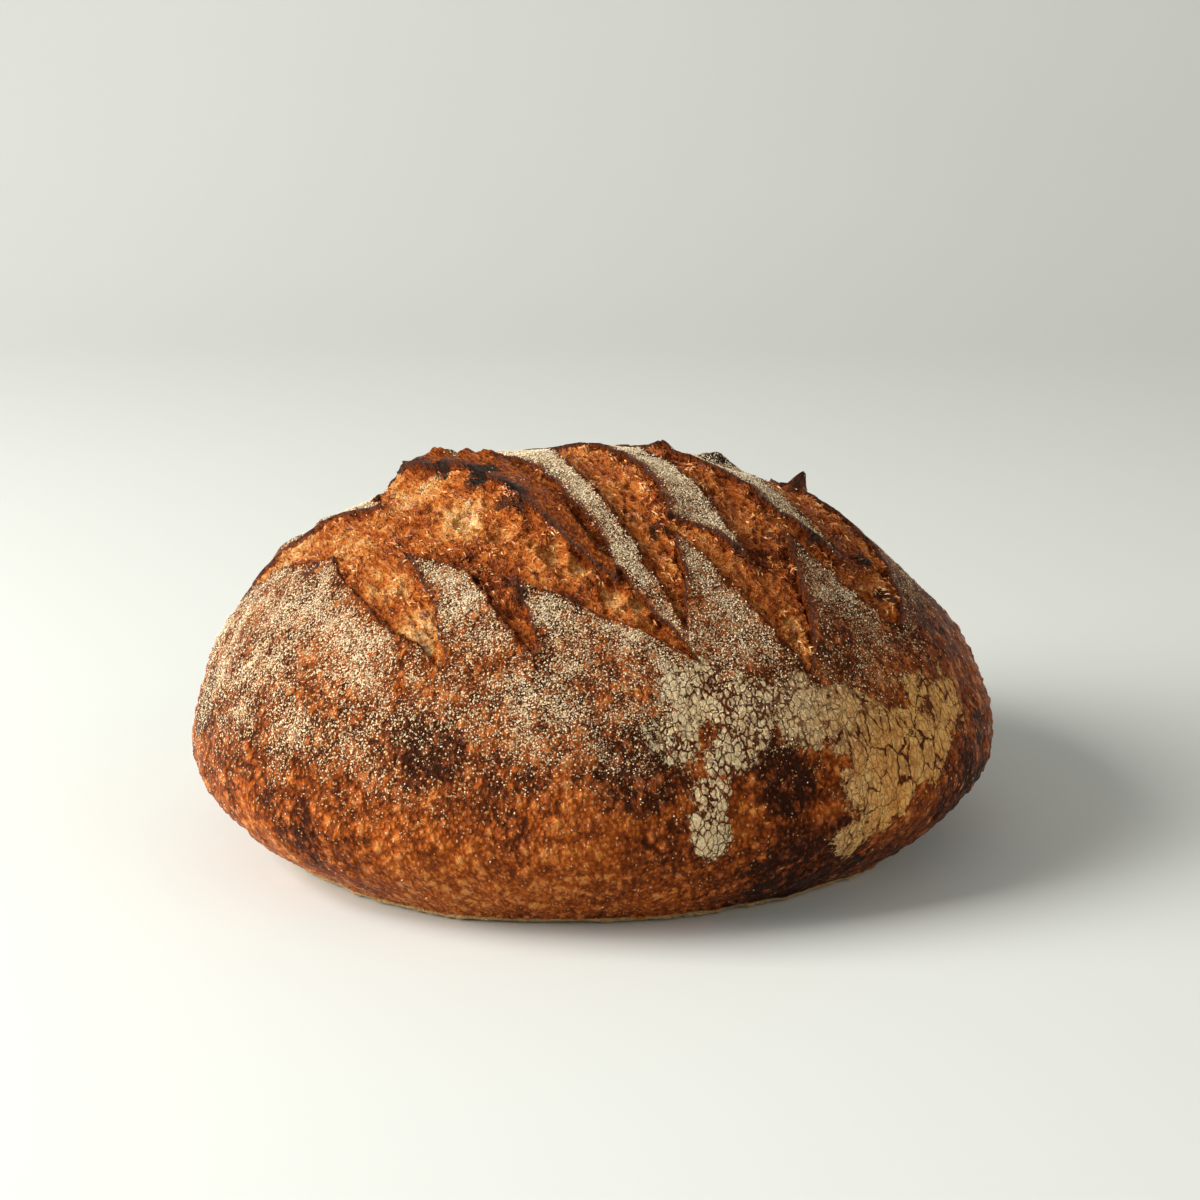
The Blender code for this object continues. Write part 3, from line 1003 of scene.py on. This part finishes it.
def crust_finish():
    """Baked crust: brown to orange, its blisters and grooves partly painted light and shade, speckled with
    flour, burnt at the lips.
    """
    f = Finish("baked_crust")
    on_loaf = f.place
    f.place = f.new("ShaderNodeAttribute", attribute_name="grown").outputs["Vector"]
    bubble, golden, scorch, flour, caked = f.attributes("bubble", "golden", "scorch", "flour", "caked")
    bare, lip, sunk, burn, rim = f.attributes("bare", "lip", "sunk", "burn", "rim")
    mottle = f.noise(6 * MM, 4, 0.6, 0.34, 0.66)
    grain = f.noise(1.1 * MM, 3, 0.65, 0.34, 0.66)
    speckle = f.noise(0.46 * MM, 2, 0.6, 0.30, 0.70)
    uneven = f.shaken(0.9 * MM, 0.8 * MM)

    # Bare crust, with blisters, pebbles, painted warm bounce light and small pale spots that are partly
    # painted glints
    broad = f.noise(34 * MM, 3, 0.55, 0.36, 0.64)
    blister_gap, blister_chance = f.cells(3.0 * MM, f.upright(f.shaken(3 * MM, 2.2 * MM), 0.75))
    blister = f.times(f.step(blister_gap, 0.75, 0.12), f.step(blister_chance, 0.25, 0.8))
    pebble_gap, _ = f.cells(1.35 * MM, f.upright(uneven, 0.75))
    pebble = f.step(pebble_gap, 0.72, 0.08)
    # Painted warm bounce light lifts the tone low on the left
    low_tone = f.total(-0.07, (broad, 0.20), (mottle, 0.18), (grain, 0.14), (golden, 0.17), (scorch, -0.40))
    # Blister and pebble tops painted lighter and their grooves darker: partly the crust's own colour,
    # partly painted light and painted shade
    tone = f.total(low_tone, (blister, 0.40), (pebble, 0.30), (bubble, 0.30))
    # Small pale spots on the blisters: partly pale blister tops, partly painted glints
    eye_and_glint_gap, eye_and_glint_chance = f.cells(1.15 * MM, f.upright(uneven, 0.6))
    eyes_and_glints = f.times(f.step(eye_and_glint_gap, 0.34, 0.14), f.step(eye_and_glint_chance, 0.62, 0.86))
    eye_and_glint_share = f.times(eyes_and_glints, f.step(scorch, 0.9, 0.2, 0.1, 0.75))
    baked = f.blend(eye_and_glint_share, f.shades(tone, BAKED_SHADES), EYE_AND_GLINT_GOLD)

    # Flour over it, in coarse grains and fine ones
    amount = f.times(flour, f.total(0.64, (mottle, 0.50)))
    grain_gap, grain_chance = f.cells(0.58 * MM, uneven)
    coarse = f.times(f.math("LESS_THAN", grain_chance, amount), f.step(grain_gap, 0.62, 0.42))
    small = f.step(f.math("SUBTRACT", speckle, f.total(1.08, (amount, -0.62))), -0.04, 0.10)
    speck = f.math("MAXIMUM", coarse, small)
    shaded = f.blend(f.times(amount, 0.55), baked, f.blend(grain, *BETWEEN_GRAINS))
    pale_tint = f.blend(grain_chance, CREAM, FLOUR_WHITE)
    grain_tint = f.blend(f.step(grain_chance, 0.0, 0.25), TOASTED, pale_tint)
    floured = f.blend(speck, shaded, grain_tint)

    # Caked flour, in white scales that turn to tan slabs at the right
    split = f.new("ShaderNodeSeparateXYZ")
    f.put(split, "Vector", on_loaf)
    tan = f.step(split.outputs["X"], *TAN_RIGHTWARD)
    crack_place = f.upright(f.shaken(1.6 * MM, 1.6 * MM), 0.55)
    close_crack = f.cracks(1.9 * MM, crack_place)
    wide_crack = f.cracks(4.8 * MM, crack_place)
    small_crack = f.cracks(1.1 * MM, crack_place)
    width = f.noise(7 * MM, 3, 0.6, 0.38, 0.70)
    flakes = f.step(f.total(close_crack, (width, -0.13)), 0.0, 0.08)
    slabs = f.step(f.total(wide_crack, (width, -0.07)), -0.01, 0.025)
    slabs = f.times(slabs, f.total(0.55, (flakes, 0.45)))
    chips = f.step(f.total(small_crack, (width, -0.14)), -0.04, 0.05, 0.45, 1.0)
    plate = f.total(flakes, (f.math("SUBTRACT", slabs, flakes), tan))
    plate = f.times(plate, f.math("MAXIMUM", chips, tan))
    ragged = f.noise(2.4 * MM, 3, 0.65, 0.32, 0.68)
    cover = f.step(f.total(caked, (mottle, 0.30), (grain, 0.25), (ragged, 0.40)), 0.80, 0.98)
    cake_share = f.times(cover, plate)
    crumbly = f.total(0.0, (speckle, 0.45), (mottle, 0.35), (ragged, 0.30))
    dark_cake, light_cake = (f.blend(tan, white, tanned) for white, tanned in zip(WHITE_CAKE, TAN_CAKE))
    crack_shade = f.times(f.times(cover, f.math("SUBTRACT", 1.0, plate)), 0.9)
    cracked = f.blend(crack_shade, floured, f.blend(grain, DARK_BROWN, RED_BROWN))
    caked_over = f.blend(cake_share, cracked, f.blend(crumbly, dark_cake, light_cake))

    # Bare fibres behind the tall ear, plum lips and their torn sides
    strand = f.noise(1.0 * MM, 3, 0.65, 0.34, 0.66, f.drawn_out(FIBRE_HEADING, 3.5))
    stripped = f.shades(f.total(0.10, (mottle, 0.16), (strand, 0.32)), CRUMB_SHADES)
    bared = f.blend(f.step(f.total(bare, (mottle, 0.4)), 0.55, 0.85), caked_over, stripped)
    lip_share = f.step(f.total(lip, (mottle, 0.35)), 0.72, 1.0)
    lipped = f.blend(lip_share, bared, f.blend(grain, PLUM, LIP_BROWN))
    torn_side = f.shades(f.total(0.0, (sunk, 0.35), (grain, 0.35)), CRUMB_SHADES)
    sided = f.blend(f.step(sunk, 0.03, 0.25), lipped, torn_side)

    # Browning, char and the pale rim at the base
    singed = f.total(burn, (mottle, 0.25), (grain, 0.45))
    browned = f.blend(f.step(singed, 0.50, 1.05, 0.0, 0.85), sided, SINGED_CRUST)
    charred = f.blend(f.step(singed, 1.00, 1.22), browned, f.blend(speckle, CHAR, SOOT))
    f.put(f.surface, "Base Color", f.blend(f.times(f.step(rim, 0.3, 0.7), 0.85), charred, RIM_TAN))

    # Gloss and relief
    gloss = f.step(f.total(flour, (mottle, 0.3)), 0.2, 0.9, 0.34, 0.75)
    f.put(f.surface, "Roughness", f.math("MAXIMUM", gloss, f.times(speck, 0.9)))
    wet = f.total(0.0, (speckle, 0.4), (blister, 0.3), (bubble, 0.5))
    f.glaze(0.04, f.times(f.step(flour, 0.8, 0.2), f.step(wet, 0.35, 0.80, 0.0, 0.9)), 0.20, 1.38)
    height = f.total(0.0, (grain, 0.35), (speckle, 0.12), (blister, 1.35), (pebble, 0.60), (eyes_and_glints, 0.45))
    height = f.total(height, (speck, 0.35), (cake_share, 0.8), (f.times(strand, bare), 1.0))
    f.relief(height, 1.0 * MM)
    return f.material


def crumb_finish():
    """Torn crumb: pale in its burst bubbles, orange on its walls, darker at the lips, with painted shade in
    its gaps and painted light on its crests.
    """
    f = Finish("torn_crumb")
    pore, crest, edge = f.attributes("pore", "crest", "edge")
    scald, pale, browned = f.attributes("scald", "pale", "browned")
    broad = f.noise(15 * MM, 3, 0.5, 0.36, 0.64)
    mottle = f.noise(3.2 * MM, 4, 0.6, 0.34, 0.66)
    fibre = f.noise(0.85 * MM, 3, 0.65, 0.32, 0.68, f.drawn_out(FIBRE_HEADING, 3.2))
    fine = f.noise(0.5 * MM, 2, 0.6, 0.32, 0.68)
    flow = f.noise(1.9 * MM, 3, 0.6, 0.36, 0.64, f.drawn_out(FIBRE_HEADING, 5.5))
    web_place = f.shaken(2.0 * MM, 3.0 * MM)
    wide_web = f.cracks(3.4 * MM, web_place)
    fine_web = f.cracks(1.5 * MM, web_place)
    web = f.math("MAXIMUM", f.step(wide_web, 0.12, 0.0), f.times(f.step(fine_web, 0.22, 0.0), 0.8))

    # Colour, darker at the lips and where it is browned, with painted light on crests and ridges and
    # painted shade in hollows
    # The web's ridges and the crests are painted lighter and the hollows darker: painted light and painted
    # shade
    tone = f.total(0.02, (broad, 0.14), (mottle, 0.12), (flow, 0.18), (fibre, 0.16), (web, 0.16))
    tone = f.total(tone, (crest, 0.24), (pore, 0.22), (pale, 0.20))
    dark_edge = f.times(edge, f.total(1.0, (pale, -0.8)))
    tone = f.total(tone, (dark_edge, -0.20), (f.total(browned, (mottle, 0.5)), -0.20))
    singed = f.total(scald, (mottle, 0.25), (fibre, 0.30))
    toasted = f.blend(f.step(singed, 0.45, 0.95, 0.0, 0.85), f.shades(tone, CRUMB_SHADES), SINGED_CRUMB)
    burnt = f.blend(f.step(singed, 0.95, 1.20), toasted, f.blend(fine, CHAR, SOOT))
    f.put(f.surface, "Base Color", burnt)

    # Gloss and relief
    f.put(f.surface, "Roughness", f.step(mottle, 0.0, 1.0, 0.30, 0.6))
    f.glaze(0.05, f.step(f.math("MAXIMUM", web, fibre), 0.45, 0.95, 0.0, 0.6), 0.16, 1.40)
    f.relief(f.total(0.0, (fine, 0.3), (fibre, 0.7), (web, 0.7), (flow, 0.9)), 0.7 * MM)
    return f.material


def flour_finish():
    """Pale flour, some grains toasted."""
    f = Finish("loose_flour")
    toasted = f.step(f.noise(3 * MM, 2, 0.5), 0.45, 0.7)
    f.put(f.surface, "Base Color", f.blend(toasted, FLOUR_WHITE, TOASTED_GRAIN))
    f.surface.inputs["Roughness"].default_value = 0.9
    return f.material


def shred_finish():
    """Shreds of crumb, crisp and gold-brown, browned at random."""
    f = Finish("crisp_shreds")
    tone = f.noise(4 * MM, 4, 0.6, 0.20, 0.80)
    f.put(f.surface, "Base Color", f.shades(tone, CRUMB_SHADES))
    f.surface.inputs["Roughness"].default_value = 0.4
    return f.material


def make_camera():
    """The photograph's camera, turned a little so that the loaf sits in the frame as it does there."""
    back = Vector((0, -math.cos(CAMERA_RISE), math.sin(CAMERA_RISE)))
    side = Vector((1, 0, 0))
    yaw = math.atan((LOAF_PIXEL[0] - PHOTO_SIDE / 2) / FOCAL_PIXELS)
    pitch = math.atan((LOAF_PIXEL[1] - PHOTO_SIDE / 2) / FOCAL_PIXELS)
    aim = -back * math.cos(pitch) + side.cross(-back) * math.sin(pitch)
    up = side.cross(aim)
    aim = aim * math.cos(yaw) - side * math.sin(yaw)
    right = aim.cross(up)
    camera = placed("camera", bpy.data.cameras.new("camera"))
    turn = Matrix((right, up, -aim)).transposed().to_4x4()
    camera.matrix_world = Matrix.Translation(LOAF_MIDDLE + back * CAMERA_REACH) @ turn
    camera.data.sensor_width = SENSOR
    camera.data.lens = FOCAL_PIXELS / PHOTO_SIDE * SENSOR
    bpy.context.scene.camera = camera


def make_floor():
    """A pale floor that sweeps up into a pale wall behind."""
    sweep = bmesh.new()
    bmesh.ops.create_grid(sweep, x_segments=1, y_segments=1, size=FLOOR_REACH)
    back_edge = [edge for edge in sweep.edges if all(v.co.y > 0 for v in edge.verts)]
    bmesh.ops.translate(sweep, vec=(0, -FLOOR_FORWARD, 0), verts=sweep.verts)
    wall = bmesh.ops.extrude_edge_only(sweep, edges=back_edge)["geom"]
    wall_top = [item for item in wall if isinstance(item, bmesh.types.BMVert)]
    bmesh.ops.translate(sweep, vec=(0, 0, WALL_HEIGHT), verts=wall_top)
    rounding = {"offset": SWEEP_ROUND, "segments": 16}
    bmesh.ops.bevel(sweep, geom=back_edge, affect="EDGES", profile=0.5, material=-1, **rounding)
    bmesh.ops.recalc_face_normals(sweep, faces=sweep.faces)
    mesh = bpy.data.meshes.new("floor")
    sweep.to_mesh(mesh)
    sweep.free()
    mesh.shade_smooth()
    floor = placed("floor", mesh)
    f = Finish("pale_floor")
    f.put(f.surface, "Base Color", f.blend(f.noise(0.4, 2, 0.5), *FLOOR_TINTS))
    f.surface.inputs["Roughness"].default_value = 0.85
    mesh.materials.append(f.material)


def make_lights():
    """Soft daylight from the left and above, with a weak fill."""
    for lamp in LAMPS:
        data = bpy.data.lights.new(lamp.name, "AREA")
        data.shape = "RECTANGLE"
        data.size, data.size_y = lamp.size
        data.energy, data.color = lamp.power, lamp.colour
        light = placed(lamp.name, data)
        light.location = lamp.place
        light.rotation_euler = (LAMP_AIM - Vector(lamp.place)).to_track_quat("-Z", "Y").to_euler()
    world = bpy.data.worlds.new("room")
    world.use_nodes = True
    background = world.node_tree.nodes["Background"]
    background.inputs["Color"].default_value = (*ROOM_COLOUR, 1)
    background.inputs["Strength"].default_value = ROOM_STRENGTH
    bpy.context.scene.world = world
    bpy.context.scene.view_settings.view_transform = "Standard"


def loaf_middle():
    """How far the shaped dome's middle lies from the origin in plan, as the solid measures it."""
    ball = bmesh.new()
    bmesh.ops.create_icosphere(ball, subdivisions=6, radius=1.0)
    points, _ = proved(ways_of(ball))
    ball.free()
    middle = (points.min(axis=0) + points.max(axis=0)) / 2
    return np.array((middle[0], middle[1], 0))


def main():
    make_camera()
    middle = loaf_middle()
    crust = make_crust(middle, crust_finish())
    crumb = make_crumb(middle, crumb_finish())
    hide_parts("loaf")
    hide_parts("loaf")
    make_flour_grains(crust, flour_finish())
    make_crumb_shreds(crumb, shred_finish())
    make_floor()
    make_lights()


main()
